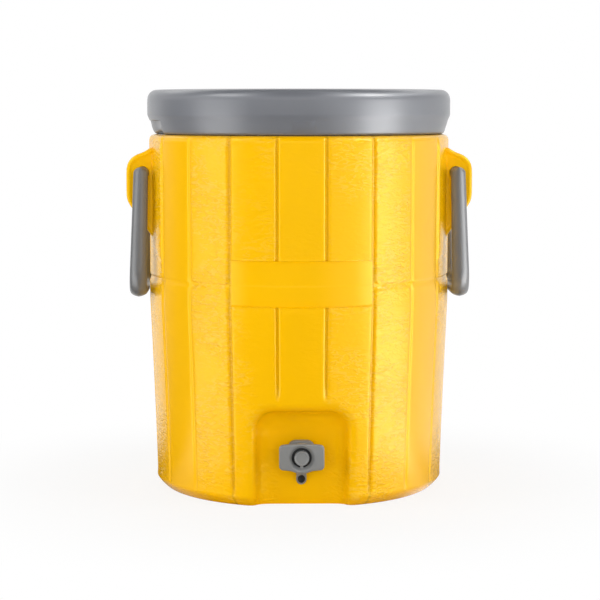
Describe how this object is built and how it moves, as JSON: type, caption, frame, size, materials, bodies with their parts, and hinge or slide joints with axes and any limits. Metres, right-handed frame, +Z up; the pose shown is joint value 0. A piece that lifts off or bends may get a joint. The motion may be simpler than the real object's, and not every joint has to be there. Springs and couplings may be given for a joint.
{
  "type": "insulated beverage dispenser",
  "caption": "Round insulated beverage dispenser with a stave-look double-walled barrel, push-button tap in a front alcove, swing bail handles on side ears and a lift-off lid.",
  "frame": {"origin": "centre of the base ring, on the surface that the dispenser stands on", "axes": "+Z up, front with the tap towards -Y, ears and bails towards +X and -X"},
  "size_m": [0.394, 0.3498, 0.458],
  "materials": {
    "yellow_shell": "satin",
    "grey_lid": "satin",
    "grey_bail": "satin",
    "grey_tap": "satin",
    "white_liner": "gloss",
    "foam": "matte",
    "rubber": "matte",
    "silicone": "satin",
    "steel": "satin"
  },
  "bodies": {
    "cooler": {"outer_shell": "yellow_shell", "insulation_foam": "foam", "inner_liner": "white_liner", "foam_fill_plug": "yellow_shell", "foam_vent_plug": "yellow_shell", "tap_body": "grey_tap", "tap_bonnet": "grey_tap", "stem_o_ring": "rubber", "spring_washer": "steel", "return_spring": "steel", "outer_gasket": "rubber", "inner_gasket": "rubber", "shank_nut": "white_liner"},
    "lid": {"lid_shell": "grey_lid", "lid_foam": "foam", "lid_liner": "white_liner", "lid_gasket": "silicone"},
    "button": {"push_button": "grey_tap", "plunger_stem": "white_liner", "valve_seal": "rubber"},
    "left_bail": {"bail_left": "grey_bail"},
    "right_bail": {"bail_right": "grey_bail"}
  },
  "joints": [
    {"name": "lid_lift", "type": "slide", "parent": "cooler", "child": "lid", "axis": [0, 0, 1], "range_m": [0, 0.25]},
    {"name": "button_press", "type": "slide", "parent": "cooler", "child": "button", "axis": [0, 1, 0], "range_m": [0, 0.0055], "stiffness_N_per_m": 1200, "springref_m": -0.003, "deforming": ["return_spring"]},
    {"name": "bail_left_swing", "type": "hinge", "parent": "cooler", "child": "left_bail", "pos_m": [-0.1785, 0, 0.364], "axis": [0, 1, 0], "range_deg": [0, 170]},
    {"name": "bail_right_swing", "type": "hinge", "parent": "cooler", "child": "right_bail", "pos_m": [0.1785, 0, 0.364], "axis": [0, -1, 0], "range_deg": [0, 170]}
  ]
}
